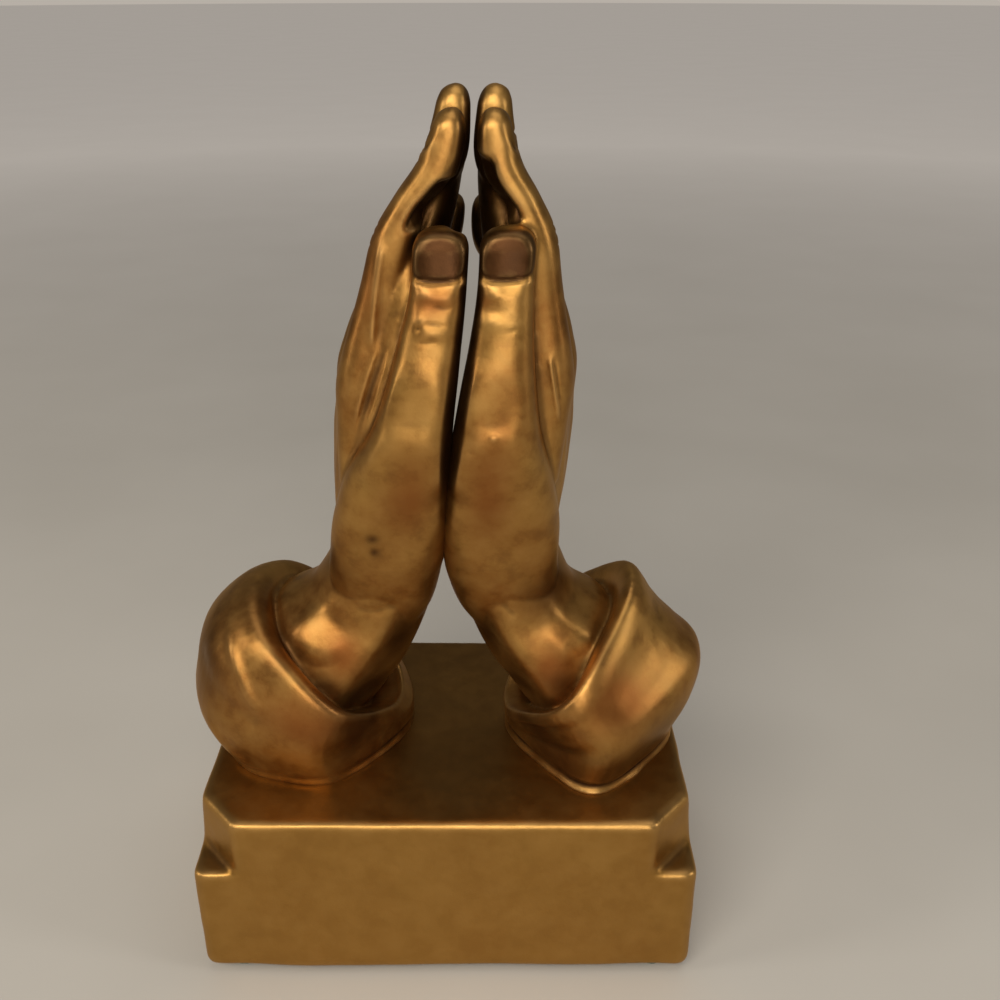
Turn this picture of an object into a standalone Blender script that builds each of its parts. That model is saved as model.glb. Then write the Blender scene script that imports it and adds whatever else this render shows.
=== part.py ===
"""Praying hands statue: two hands that rise from draped sleeves on a block plinth, cast as one piece.

Metres, +Z up, X to the right and Y to the back. The origin is on the ground below the middle of the plinth.
A hand is laid out from the mid-plane between the two hands: out is the distance from that plane, back is
along Y and up is the height above the plinth's top. The right hand takes the same layout mirrored.
"""

import math

import bmesh
import bpy
import numpy as np
from mathutils import Vector

# Plinth
PLINTH_WIDTH = 0.1284
PLINTH_DEPTH = 0.084
PLINTH_HEIGHT = 0.049
PLINTH_TAPER = 0.0022
PLINTH_CORNER = 0.0034
PLINTH_FOOT_ROUNDING = 0.0028
PLINTH_ROUNDING = 0.0020
CHAMFER_WIDTH = 0.012
CHAMFER_DEPTH = 0.014
LEDGE_HEIGHT = 0.033
SHOULDER_DROP = 0.0012

# Felt pads
PAD_RADIUS = 0.006
PAD_THICKNESS = 0.0015
PAD_INSET = 0.0097
PAD_GAP = 0.0003

# The plane between the hands leans to the right above this height over the plinth.
LEAN = 0.079
LEAN_START = 0.057

# Fingers: knuckle (out, back, up), the three bones' lengths and their slopes in degrees towards the
# mid-plane, width and thickness at the middle joint, how far the fingertip drifts to the back and how far
# the second bone's palm side is hollowed.
FINGERS = {
    "index": dict(
        knuckle=(0.0208, -0.0130, 0.1060),
        bones=(0.0316, 0.0181, 0.0119),
        slopes=(10.8, 28.0, 11.5),
        width=0.0122,
        thickness=0.0098,
        drift=-0.0005,
        hollow=0.0013,
    ),
    "middle": dict(
        knuckle=(0.0210, -0.0012, 0.1080),
        bones=(0.0318, 0.0172, 0.0142),
        slopes=(15.2, 25.2, 5.0),
        width=0.0124,
        thickness=0.0106,
        drift=-0.0010,
        hollow=0.0005,
    ),
    "ring": dict(
        knuckle=(0.0202, 0.0103, 0.1050),
        bones=(0.0307, 0.0163, 0.0124),
        slopes=(12.6, 27.3, 8.6),
        width=0.0118,
        thickness=0.0102,
        drift=-0.0012,
        hollow=0.0005,
    ),
    "little": dict(
        knuckle=(0.0172, 0.0205, 0.0980),
        bones=(0.0231, 0.0123, 0.0108),
        slopes=(13.0, 31.5, 10.5),
        width=0.0102,
        thickness=0.0092,
        drift=-0.0008,
        hollow=0.0004,
    ),
}

# The finger starts this far below its knuckle, inside the palm, and its first bone bows out. Sizes are
# shares of the size at the middle joint: at the root, the knuckle, halfway, the middle joint, halfway, the
# last joint and the tip.
FINGER_ROOT = 0.024
FIRST_BONE_BOW = 0.0005
FINGER_THICKNESSES = (1.16, 1.16, 1.04, 0.98, 0.79, 0.87, 0.63)
FINGER_WIDTHS = (1.22, 1.22, 1.06, 1.02, 0.96, 0.94, 0.80)
FINGER_SQUARENESS = 2.7

# Thumb: sections from the heel of the hand up to the knuckle, each out, back, up and half sizes out and back.
THUMB_HEEL = (
    (0.0172, -0.0010, 0.0390, 0.0105, 0.0115),
    (0.0156, -0.0050, 0.0485, 0.0130, 0.0130),
    (0.0143, -0.0090, 0.0585, 0.0140, 0.0128),
    (0.0130, -0.0134, 0.0695, 0.0142, 0.0120),
    (0.0114, -0.0183, 0.0830, 0.0127, 0.0110),
)
THUMB_KNUCKLES = {
    "left": (0.0084, -0.0242, 0.0985, 0.0088, 0.0092),
    "right": (0.0100, -0.0242, 0.0985, 0.0095, 0.0092),
}

# From the knuckle on: each bone's length, its slope in degrees towards the mid-plane, how far it leans to the
# back, and half sizes out and back at its end.
THUMB_BONES = (0.0270, 0.0168)
THUMB_SLOPES = {"left": (7.4, 0.6), "right": (1.0, 1.4)}
THUMB_DRIFTS = (0.0002, 0.0020)
THUMB_HALVES = ((0.0062, 0.0062), (0.0059, 0.0053))
THUMB_SQUARENESS = 2.8

# Fingers and thumbs end in a blunt tip: its length as a share of the half width, how blunt it is (2 for a
# round one) and the share of the size that the last outline keeps.
TIP_LENGTH_SHARE = 0.90
TIP_BLUNTNESS = 2.3
TIP_END_SHARE = 0.14

# The web that fills the space between thumb and palm: out, back, up, tilt in degrees and half sizes out
# and back.
WEB = (
    (0.0150, -0.0125, 0.0780, 0, 0.0095, 0.0090),
    (0.0152, -0.0150, 0.0920, 0, 0.0085, 0.0078),
    (0.0146, -0.0154, 0.1040, 0, 0.0074, 0.0066),
    (0.0134, -0.0152, 0.1160, 4, 0.0060, 0.0054),
    (0.0122, -0.0148, 0.1270, 8, 0.0048, 0.0046),
    (0.0114, -0.0142, 0.1370, 12, 0.0028, 0.0034),
)

# The flesh on the palm side of the fingers, from the palm up to the last joints, as in WEB
PADS = (
    (0.0125, 0.0035, 0.1060, 0, 0.0050, 0.0140),
    (0.0116, 0.0040, 0.1160, 0, 0.0054, 0.0155),
    (0.0106, 0.0042, 0.1260, 0, 0.0056, 0.0150),
    (0.0090, 0.0036, 0.1360, 0, 0.0054, 0.0125),
    (0.0068, 0.0026, 0.1450, 0, 0.0046, 0.0095),
    (0.0052, 0.0020, 0.1520, 0, 0.0034, 0.0070),
    (0.0044, 0.0016, 0.1570, 0, 0.0020, 0.0040),
)

# Palm and wrist, from the finger roots down, as in WEB
PALM = (
    (0.0210, -0.0015, 0.1185, 0, 0.0016, 0.0060),
    (0.0204, 0.0000, 0.1160, 0, 0.0046, 0.0130),
    (0.0193, 0.0018, 0.1105, 0, 0.0078, 0.0194),
    (0.0176, 0.0032, 0.1020, 0, 0.0108, 0.0234),
    (0.0154, 0.0033, 0.0900, 0, 0.0133, 0.0250),
    (0.0148, 0.0028, 0.0780, 0, 0.0138, 0.0240),
    (0.0145, 0.0015, 0.0660, 0, 0.0136, 0.0215),
    (0.0150, 0.0000, 0.0560, 3, 0.0138, 0.0190),
)

# The forearm goes on from the wrist down into the sleeve. It turns from round to slightly square between
# the two heights.
FOREARMS = {
    "left": (
        (0.0198, -0.0010, 0.0435, 15, 0.0162, 0.0186),
        (0.0266, -0.0010, 0.0348, 27, 0.0194, 0.0206),
        (0.0316, -0.0010, 0.0284, 32, 0.0202, 0.0218),
        (0.0360, -0.0010, 0.0210, 36, 0.0190, 0.0214),
        (0.0410, -0.0010, 0.0130, 36, 0.0160, 0.0180),
    ),
    "right": (
        (0.0192, -0.0010, 0.0435, 15, 0.0150, 0.0184),
        (0.0260, -0.0010, 0.0343, 27, 0.0178, 0.0202),
        (0.0306, -0.0010, 0.0276, 32, 0.0178, 0.0208),
        (0.0350, -0.0010, 0.0206, 36, 0.0174, 0.0206),
        (0.0400, -0.0010, 0.0130, 36, 0.0155, 0.0180),
    ),
}
FOREARM_ROUND_ABOVE = 0.052
FOREARM_SQUARE_BELOW = 0.040

# Sleeves: rings from the foot on the plinth up over the rim and down inside it, as in PALM
SLEEVES = {
    "left": (
        (0.0355, 0.0005, -0.0040, 0, 0.0235, 0.0275),
        (0.0368, 0.0005, 0.0010, 3, 0.0256, 0.0292),
        (0.0384, 0.0006, 0.0065, 9, 0.0289, 0.0308),
        (0.0390, 0.0004, 0.0110, 14, 0.0299, 0.0316),
        (0.0382, 0.0000, 0.0160, 21, 0.0300, 0.0320),
        (0.0366, -0.0008, 0.0216, 29, 0.0306, 0.0316),
        (0.0338, -0.0014, 0.0260, 38, 0.0288, 0.0304),
        (0.0318, -0.0016, 0.0280, 43, 0.0270, 0.0294),
        (0.0306, -0.0016, 0.0284, 45, 0.0254, 0.0280),
        (0.0296, -0.0015, 0.0274, 46, 0.0238, 0.0262),
        (0.0296, -0.0013, 0.0258, 46, 0.0222, 0.0244),
        (0.0304, -0.0011, 0.0242, 45, 0.0208, 0.0228),
        (0.0320, -0.0010, 0.0222, 45, 0.0186, 0.0204),
        (0.0350, -0.0010, 0.0180, 42, 0.0145, 0.0160),
    ),
    "right": (
        (0.0385, -0.0010, -0.0040, 0, 0.0235, 0.0285),
        (0.0392, -0.0010, 0.0024, 6, 0.0252, 0.0295),
        (0.0410, -0.0010, 0.0094, 13, 0.0288, 0.0304),
        (0.0416, -0.0010, 0.0150, 23, 0.0310, 0.0306),
        (0.0388, -0.0012, 0.0184, 31, 0.0296, 0.0306),
        (0.0368, -0.0014, 0.0214, 37, 0.0282, 0.0302),
        (0.0356, -0.0016, 0.0240, 42, 0.0276, 0.0298),
        (0.0344, -0.0018, 0.0256, 47, 0.0286, 0.0298),
        (0.0329, -0.0018, 0.0268, 50, 0.0296, 0.0296),
        (0.0316, -0.0018, 0.0282, 51, 0.0286, 0.0288),
        (0.0307, -0.0016, 0.0280, 51, 0.0268, 0.0274),
        (0.0303, -0.0014, 0.0266, 51, 0.0248, 0.0256),
        (0.0306, -0.0012, 0.0248, 50, 0.0224, 0.0236),
        (0.0314, -0.0010, 0.0230, 49, 0.0200, 0.0218),
        (0.0330, -0.0010, 0.0200, 47, 0.0174, 0.0190),
        (0.0362, -0.0010, 0.0150, 44, 0.0140, 0.0150),
    ),
}

# The forearms and the drape of the sleeves have flats that meet at soft corners: the direction each flat
# faces in degrees, 0 out and -90 to the front, and its distance from the middle as a share of the ring. The
# corners are crisper the higher the sharpness is.
FOREARM_FLATS = (
    (-80, 0.90),
    (-142, 0.88),
    (-28, 0.93),
    (10, 0.96),
    (60, 0.94),
    (118, 0.94),
    (178, 0.96),
)
FOREARM_SHARPNESS = 22.0
SLEEVE_FLATS = {
    "left": ((-78, 0.95), (-140, 0.90), (90, 0.95)),
    "right": ((-46, 0.82), (-140, 0.82), (-4, 0.95), (180, 0.98), (52, 0.86), (130, 0.86)),
}
SLEEVE_SHARPNESS = 12.0

# How finely the hands are modelled
RING_POINTS = 32
LOFT_STEPS = 6
VOXEL = 0.0009
SOFTEN_STEPS = 6
SOFTEN_SHARE = 0.5
ARM_TRIANGLES = 4900

# How finely the plinth is modelled: steps across its large roundings and its small ones, the angle in
# degrees from which an edge is rounded, and how near a point is to a level that it counts as on it.
ROUND_SEGMENTS = 4
EDGE_SEGMENTS = 2
SHARP_FROM = 40
ON_LEVEL = 0.0001

UNDERSIDE = PAD_THICKNESS + PAD_GAP
PLINTH_TOP = UNDERSIDE + PLINTH_HEIGHT
SIDES = {"left": -1.0, "right": 1.0}


def clear_scene():
    for item in list(bpy.data.objects):
        bpy.data.objects.remove(item, do_unlink=True)


def collection(name):
    made = bpy.data.collections.new(name)
    bpy.context.scene.collection.children.link(made)
    return made


def material(name, colour, roughness, metallic):
    made = bpy.data.materials.new(name)
    made.use_nodes = True
    shader = made.node_tree.nodes["Principled BSDF"]
    shader.inputs["Base Color"].default_value = (*colour, 1.0)
    shader.inputs["Roughness"].default_value = roughness
    shader.inputs["Metallic"].default_value = metallic
    return made


def new_object(name, mesh, group):
    made = bpy.data.objects.new(name, mesh)
    group.objects.link(made)
    return made


def in_statue(side, point):
    """A point laid out from the mid-plane between the hands, as a point of the statue."""
    out, back, up = point
    shift = LEAN * max(0.0, up - LEAN_START)
    return Vector((SIDES[side] * out + shift, back, PLINTH_TOP + up))


def smooth_table(table, steps):
    """The rows of a table with rows between them, on a curve that passes through each given row."""
    rows = np.array(table, dtype=float)
    padded = np.vstack([2 * rows[0] - rows[1], rows, 2 * rows[-1] - rows[-2]])
    found = []
    for index in range(1, len(padded) - 2):
        before, start, end, after = padded[index - 1 : index + 3]
        for step in range(steps):
            t = step / steps
            found.append(
                0.5
                * (
                    2 * start
                    + (end - before) * t
                    + (2 * before - 5 * start + 4 * end - after) * t**2
                    + (3 * start - before - 3 * end + after) * t**3
                )
            )
    found.append(rows[-1])
    return found


def flat_share(angle, flats, sharpness):
    """The distance to an outline with flats in one direction, as a share of the ring's half size."""
    total = 1.0
    for facing, share in flats:
        reach = math.cos(angle - math.radians(facing)) / share
        total += max(0.0, reach) ** sharpness
    return total ** (-1.0 / sharpness)


def squared(value, squareness):
    """A sine or cosine, changed so that the outline it draws is squarer than a circle."""
    return math.copysign(abs(value) ** (2 / squareness), value)


def ring(centre, tilt, half_out, half_back, flats=(), sharpness=1.0, squareness=2.0):
    """A closed outline about a centre, tilted so that its outer side rises; a squareness of 2 is round."""
    out, back, up = centre
    lean = math.radians(tilt)
    points = []
    for index in range(RING_POINTS):
        angle = 2 * math.pi * index / RING_POINTS
        share = flat_share(angle, flats, sharpness) if flats else 1.0
        along = half_out * share * squared(math.cos(angle), squareness)
        across = half_back * share * squared(math.sin(angle), squareness)
        points.append((out + along * math.cos(lean), back + across, up + along * math.sin(lean)))
    return points


def finger_rings(path, halves, squareness):
    """Rings across a path of (out, back, up), with half sizes out and back, closed by a blunt tip."""
    rows = np.array(smooth_table([(*p, *h) for p, h in zip(path, halves)], LOFT_STEPS))
    steps = np.linalg.norm(np.diff(rows[:, :3], axis=0), axis=1)
    left = np.append(np.cumsum(steps[::-1])[::-1], 0.0)
    cap = rows[-1, 4] * TIP_LENGTH_SHARE
    rings = []
    for index, (out, back, up, half_out, half_back) in enumerate(rows):
        before = rows[max(index - 1, 0), :3]
        after = rows[min(index + 1, len(rows) - 1), :3]
        tilt = math.degrees(math.atan2(before[0] - after[0], after[2] - before[2]))
        inside = min(left[index] / cap, 1.0)
        close = (1.0 - (1.0 - inside) ** TIP_BLUNTNESS) ** (1 / TIP_BLUNTNESS)
        close = max(close, TIP_END_SHARE)
        shape = 2 + (squareness - 2) * close
        rings.append(
            ring((out, back, up), tilt, half_out * close, half_back * close, squareness=shape)
        )
    return rings


def halfway(start, end, shift):
    """The point between two points, moved out by shift."""
    out, back, up = ((a + b) / 2 for a, b in zip(start, end))
    return (out + shift, back, up)


def finger(knuckle, bones, slopes, width, thickness, drift, hollow):
    """The rings of one finger, from inside the palm to its tip."""
    out, back, up = knuckle
    joints = [knuckle]
    for bone, slope in zip(bones, slopes):
        out -= bone * math.sin(math.radians(slope))
        up += bone * math.cos(math.radians(slope))
        back += drift / len(bones)
        joints.append((out, back, up))
    root = (knuckle[0] - FIRST_BONE_BOW, knuckle[1], knuckle[2] - FINGER_ROOT)
    bowed = halfway(joints[0], joints[1], FIRST_BONE_BOW)
    hollowed = halfway(joints[1], joints[2], hollow)
    path = [root, joints[0], bowed, joints[1], hollowed, *joints[2:]]
    shares = zip(FINGER_THICKNESSES, FINGER_WIDTHS)
    halves = [(thickness / 2 * thick, width / 2 * wide) for thick, wide in shares]
    return finger_rings(path, halves, FINGER_SQUARENESS)


def thumb(side):
    """The rings of one thumb, from the heel of the hand to its tip."""
    rows = (*THUMB_HEEL, THUMB_KNUCKLES[side])
    path = [row[:3] for row in rows]
    halves = [row[3:] for row in rows]
    out, back, up = path[-1]
    for bone, slope, drift, half in zip(
        THUMB_BONES, THUMB_SLOPES[side], THUMB_DRIFTS, THUMB_HALVES
    ):
        out -= bone * math.sin(math.radians(slope))
        up += bone * math.cos(math.radians(slope))
        back += drift
        path.append((out, back, up))
        halves.append(half)
    return finger_rings(path, halves, THUMB_SQUARENESS)


def table_rings(table, flats=(), sharpness=1.0):
    rows = smooth_table(table, LOFT_STEPS)
    return [ring(row[:3], row[3], row[4], row[5], flats, sharpness) for row in rows]


def forearm_rings(side):
    """The palm and forearm, round at the palm and slightly square lower down."""
    rings = []
    for row in smooth_table(PALM + FOREARMS[side], LOFT_STEPS):
        soft = np.array(ring(row[:3], row[3], row[4], row[5]))
        square = np.array(
            ring(row[:3], row[3], row[4], row[5], FOREARM_FLATS, FOREARM_SHARPNESS)
        )
        blend = np.interp(row[2], (FOREARM_SQUARE_BELOW, FOREARM_ROUND_ABOVE), (1.0, 0.0))
        rings.append([tuple(point) for point in soft + blend * (square - soft)])
    return rings


def loft(shape, side, rings):
    """Adds a closed skin over the rings to a bmesh."""
    made = [[shape.verts.new(in_statue(side, point)) for point in points] for points in rings]
    for lower, upper in zip(made, made[1:]):
        for index in range(RING_POINTS):
            following = (index + 1) % RING_POINTS
            shape.faces.new((lower[index], lower[following], upper[following], upper[index]))
    shape.faces.new(made[0])
    shape.faces.new(made[-1])


def arm(side, helpers):
    """A hand, its forearm and its sleeve as one skin, kept as a helper that the plinth is joined to."""
    shape = bmesh.new()
    for measures in FINGERS.values():
        loft(shape, side, finger(**measures))
    loft(shape, side, thumb(side))
    loft(shape, side, table_rings(WEB))
    loft(shape, side, table_rings(PADS))
    loft(shape, side, forearm_rings(side))
    loft(shape, side, table_rings(SLEEVES[side], SLEEVE_FLATS[side], SLEEVE_SHARPNESS))
    bmesh.ops.recalc_face_normals(shape, faces=shape.faces)
    mesh = bpy.data.meshes.new(f"{side}_arm")
    shape.to_mesh(mesh)
    shape.free()
    mesh.shade_smooth()
    made = new_object(f"{side}_arm", mesh, helpers)
    remesh = made.modifiers.new("One skin", "REMESH")
    remesh.mode = "VOXEL"
    remesh.voxel_size = VOXEL
    soften = made.modifiers.new("Soften", "SMOOTH")
    soften.factor = SOFTEN_SHARE
    soften.iterations = SOFTEN_STEPS
    bpy.context.view_layer.update()
    graph = bpy.context.evaluated_depsgraph_get()
    faces = len(made.evaluated_get(graph).data.polygons)
    thin = made.modifiers.new("Fewer faces", "DECIMATE")
    thin.ratio = min(1.0, ARM_TRIANGLES / (2.0 * faces))
    as_helper(made)
    return made


def as_helper(item):
    item.hide_render = True
    item.display_type = "WIRE"


def corner_cutter(x_side, y_side, helpers):
    """A box whose inner face is the chamfer on one corner, standing on that corner's ledge."""
    slope = math.atan2(CHAMFER_WIDTH, CHAMFER_DEPTH)
    size = 2.0 * (CHAMFER_WIDTH + CHAMFER_DEPTH)
    shape = bmesh.new()
    bmesh.ops.create_cube(shape, size=size)
    mesh = bpy.data.meshes.new("corner_cutter")
    shape.to_mesh(mesh)
    shape.free()
    made = new_object("corner_cutter", mesh, helpers)
    facing = Vector((x_side * math.cos(slope), y_side * math.sin(slope), 0.0))
    on_face = Vector(
        (
            x_side * (PLINTH_WIDTH - CHAMFER_WIDTH) / 2,
            y_side * (PLINTH_DEPTH - CHAMFER_DEPTH) / 2,
            UNDERSIDE + LEDGE_HEIGHT + size / 2,
        )
    )
    made.location = on_face + facing * size / 2
    made.rotation_euler = (0.0, 0.0, math.atan2(facing.y, facing.x))
    as_helper(made)
    return made


def rise(edge):
    return abs(edge.verts[0].co.z - edge.verts[1].co.z)


def round_over(shape, edges, width):
    bmesh.ops.bevel(
        shape, geom=edges, offset=width, segments=ROUND_SEGMENTS, profile=0.5, affect="EDGES"
    )


def plinth_mesh():
    """A block with round upright corners and foot, whose sides lean in from just below the ledges."""
    shape = bmesh.new()
    bmesh.ops.create_cube(shape, size=1.0)
    shoulder = (LEDGE_HEIGHT - SHOULDER_DROP) / PLINTH_HEIGHT - 0.5
    everything = shape.verts[:] + shape.edges[:] + shape.faces[:]
    top = max(vert.co.z for vert in shape.verts)
    bmesh.ops.bisect_plane(shape, geom=everything, plane_co=(0, 0, shoulder), plane_no=(0, 0, 1))
    for vert in shape.verts:
        taper = PLINTH_TAPER if vert.co.z == top else 0.0
        vert.co.x *= PLINTH_WIDTH - 2 * taper
        vert.co.y *= PLINTH_DEPTH
        vert.co.z = UNDERSIDE + (vert.co.z + 0.5) * PLINTH_HEIGHT
    upright = [edge for edge in shape.edges if rise(edge) > edge.calc_length() / 2]
    round_over(shape, upright, PLINTH_CORNER)
    foot = [edge for edge in shape.edges if max(v.co.z for v in edge.verts) < UNDERSIDE + ON_LEVEL]
    round_over(shape, foot, PLINTH_FOOT_ROUNDING)
    mesh = bpy.data.meshes.new("statue")
    shape.to_mesh(mesh)
    shape.free()
    return mesh


def boolean(item, other, operation, solver="EXACT"):
    cut = item.modifiers.new(other.name, "BOOLEAN")
    cut.operation = operation
    cut.solver = solver
    cut.object = other


def statue(parts, helpers):
    """The casting: the plinth, cut at its corners and joined to both arms."""
    made = new_object("statue", plinth_mesh(), parts)
    for x_side in (-1, 1):
        for y_side in (-1, 1):
            boolean(made, corner_cutter(x_side, y_side, helpers), "DIFFERENCE")
    rounding = made.modifiers.new("Round edges", "BEVEL")
    rounding.width = PLINTH_ROUNDING
    rounding.segments = EDGE_SEGMENTS
    rounding.limit_method = "ANGLE"
    rounding.angle_limit = math.radians(SHARP_FROM)
    for side in SIDES:
        boolean(made, arm(side, helpers), "UNION", "MANIFOLD")
    made.data.shade_smooth()
    made.data.materials.append(material("bronze_paint", (0.30, 0.16, 0.05), 0.38, 0.85))


def felt_pads(parts):
    """Four round pads of felt under the plinth's corners."""
    felt = material("green_felt", (0.010, 0.075, 0.045), 0.95, 0.0)
    for y_name, y_side in (("front", -1), ("back", 1)):
        for x_name, x_side in (("left", -1), ("right", 1)):
            shape = bmesh.new()
            bmesh.ops.create_cone(
                shape,
                cap_ends=True,
                segments=32,
                radius1=PAD_RADIUS,
                radius2=PAD_RADIUS,
                depth=PAD_THICKNESS,
            )
            mesh = bpy.data.meshes.new("felt_pad")
            shape.to_mesh(mesh)
            shape.free()
            made = new_object(f"felt_pad_{y_name}_{x_name}", mesh, parts)
            made.location = (
                x_side * (PLINTH_WIDTH / 2 - PAD_INSET),
                y_side * (PLINTH_DEPTH / 2 - PAD_INSET),
                PAD_THICKNESS / 2,
            )
            made.data.materials.append(felt)


def main():
    clear_scene()
    parts = collection("praying_hands_statue")
    helpers = collection("helpers")
    helpers.hide_render = True
    statue(parts, helpers)
    felt_pads(parts)


main()
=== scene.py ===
import math

import bmesh
import bpy
import numpy as np
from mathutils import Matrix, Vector


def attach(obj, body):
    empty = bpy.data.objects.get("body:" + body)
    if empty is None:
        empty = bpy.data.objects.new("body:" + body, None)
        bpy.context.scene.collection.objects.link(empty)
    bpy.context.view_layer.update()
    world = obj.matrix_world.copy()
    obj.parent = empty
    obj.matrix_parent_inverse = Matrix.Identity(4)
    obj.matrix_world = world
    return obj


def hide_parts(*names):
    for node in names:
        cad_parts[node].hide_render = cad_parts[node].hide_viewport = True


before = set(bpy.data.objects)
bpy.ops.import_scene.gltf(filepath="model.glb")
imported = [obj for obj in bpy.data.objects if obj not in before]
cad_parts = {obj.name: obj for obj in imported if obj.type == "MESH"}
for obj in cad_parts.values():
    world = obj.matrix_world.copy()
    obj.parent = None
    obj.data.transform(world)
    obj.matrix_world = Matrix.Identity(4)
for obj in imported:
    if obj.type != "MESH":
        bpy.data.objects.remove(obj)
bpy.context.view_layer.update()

# All sizes are in millimetres until a piece is finished. A hand is laid out as (out, back, up): out from
# the mid-plane between the hands, back along Y, up above the plinth's top. The left hand is mirrored.
MM = 0.001
PAD_TOP, PAD_RADIUS = 1.5, 5.9
PAD_X, PAD_Y = 54.5, 32.3
UNDERSIDE = 1.8
PLINTH_TOP = 50.8
WIDTH, DEPTH, HEIGHT = 128.4, 83.2, 49.0
LEDGE, CUT_WIDTH, CUT_DEPTH, TAPER = 33.0, 12.0, 14.0, 2.2
TAPER_START = LEDGE - 1.2
EDGE_ROUND, FOOT_ROUND = 3.4, 2.8
SIDES = {"left": -1.0, "right": 1.0}

# Above LEAN_START both hands lean to the right by LEAN for each millimetre of height
LEAN, LEAN_START = 0.079, 57.0
# The hands and sleeves are scaled by this about the middle of the plinth's top, to stay in the solids' box
SETTLE = 0.9985

# Points in a ring, rows made for each row of a table, the voxels' size, and the most triangles in a piece
ROUND = 64
STEPS = 8
VOXEL = 0.5
PIECE_TRIANGLES = 190000

# Each finger's base knuckle, the lengths of its bones, how many degrees each leans inwards, the finger's
# width and thickness, how far its tip drifts back, and how far its middle bone bows outwards
FINGERS = {
    "index": dict(
        knuckle=(20.8, -13.0, 106.0), bones=(31.6, 18.1, 11.9), slopes=(10.8, 28.0, 11.5),
        width=12.2, thickness=9.8, drift=-0.5, hollow=1.3,
    ),
    "middle": dict(
        knuckle=(21.0, -1.2, 108.0), bones=(31.8, 17.2, 14.2), slopes=(15.2, 25.2, 5.0),
        width=12.4, thickness=10.6, drift=-1.0, hollow=0.5,
    ),
    "ring": dict(
        knuckle=(20.2, 10.3, 105.0), bones=(30.7, 16.3, 12.4), slopes=(12.6, 27.3, 8.6),
        width=11.8, thickness=10.2, drift=-1.2, hollow=0.5,
    ),
    "little": dict(
        knuckle=(17.2, 20.5, 98.0), bones=(23.1, 12.3, 10.8), slopes=(13.0, 31.5, 10.5),
        width=10.2, thickness=9.2, drift=-0.8, hollow=0.4,
    ),
}
# How far the first bone bows outwards, and how far down into the hand a finger starts
BOW = 0.5
ROOT = 24.0
# Shares of a finger's size from its root to its tip
THICKNESSES = (1.16, 1.16, 1.04, 0.98, 0.79, 0.87, 0.63)
WIDTHS = (1.22, 1.22, 1.06, 1.02, 0.96, 0.94, 0.80)
# How long and how blunt a tip is, and how square the fingers and thumbs are across
TIP_LENGTH = 0.90
TIP_POWER = 2.3
FINGER_POWER = 2.7
THUMB_POWER = 2.8

# Rows of a thumb: out, back, up, half its size outwards and half its size backwards
THUMB_HEEL = (
    (17.2, -1.0, 39.0, 10.5, 11.5),
    (15.6, -5.0, 48.5, 13.0, 13.0),
    (14.3, -9.0, 58.5, 14.0, 12.8),
    (13.0, -13.4, 69.5, 14.2, 12.0),
    (11.4, -18.3, 83.0, 12.7, 11.0),
)
# Rows of the web, pads, palm, forearms and sleeves: out, back, up, tilt in degrees, and half the size
# outwards and backwards
WEB = (
    (15.0, -12.5, 78.0, 0, 9.5, 9.0),
    (15.2, -15.0, 92.0, 0, 8.5, 7.8),
    (14.6, -15.4, 104.0, 0, 7.4, 6.6),
    (13.4, -15.2, 116.0, 4, 6.0, 5.4),
    (12.2, -14.8, 127.0, 8, 4.8, 4.6),
    (11.4, -14.2, 137.0, 12, 2.8, 3.4),
)
# Each thumb's base knuckle as a row of a thumb, the lengths of its two bones, how many degrees each leans
# inwards and how far it drifts back, and the half sizes at the thumb's joint and tip
THUMB_KNUCKLES = {"left": (8.4, -24.2, 98.5, 8.8, 9.2), "right": (10.0, -24.2, 98.5, 9.5, 9.2)}
THUMB_BONES = (27.0, 16.8)
THUMB_SLOPES = {"left": (7.4, 0.6), "right": (1.0, 1.4)}
THUMB_DRIFTS = (0.2, 2.0)
THUMB_HALVES = ((6.2, 6.2), (5.9, 5.3))

PADS = (
    (12.5, 3.5, 106.0, 0, 5.0, 14.0),
    (11.6, 4.0, 116.0, 0, 5.4, 15.5),
    (10.6, 4.2, 126.0, 0, 5.6, 15.0),
    (9.0, 3.6, 136.0, 0, 5.4, 12.5),
    (6.8, 2.6, 145.0, 0, 4.6, 9.5),
    (5.2, 2.0, 152.0, 0, 3.4, 7.0),
    (4.4, 1.6, 157.0, 0, 2.0, 4.0),
)
PALM = (
    (21.0, -1.5, 118.5, 0, 1.6, 6.0),
    (20.4, 0.0, 116.0, 0, 4.6, 13.0),
    (19.3, 1.8, 110.5, 0, 7.8, 19.4),
    (17.6, 3.2, 102.0, 0, 10.8, 23.4),
    (15.4, 3.3, 90.0, 0, 13.3, 25.0),
    (14.8, 2.8, 78.0, 0, 13.8, 24.0),
    (14.5, 1.5, 66.0, 0, 13.6, 21.5),
    (15.0, 0.0, 56.0, 3, 13.8, 19.0),
)
FOREARMS = {
    "left": (
        (19.8, -1.0, 43.5, 15, 16.2, 18.6),
        (26.6, -1.0, 34.8, 27, 19.4, 20.6),
        (31.6, -1.0, 28.4, 32, 20.2, 21.8),
        (36.0, -1.0, 21.0, 36, 19.0, 21.4),
        (41.0, -1.0, 13.0, 36, 16.0, 18.0),
    ),
    "right": (
        (19.2, -1.0, 43.5, 15, 15.0, 18.4),
        (26.0, -1.0, 34.3, 27, 17.8, 20.2),
        (30.6, -1.0, 27.6, 32, 17.8, 20.8),
        (35.0, -1.0, 20.6, 36, 17.4, 20.6),
        (40.0, -1.0, 13.0, 36, 15.5, 18.0),
    ),
}
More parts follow.
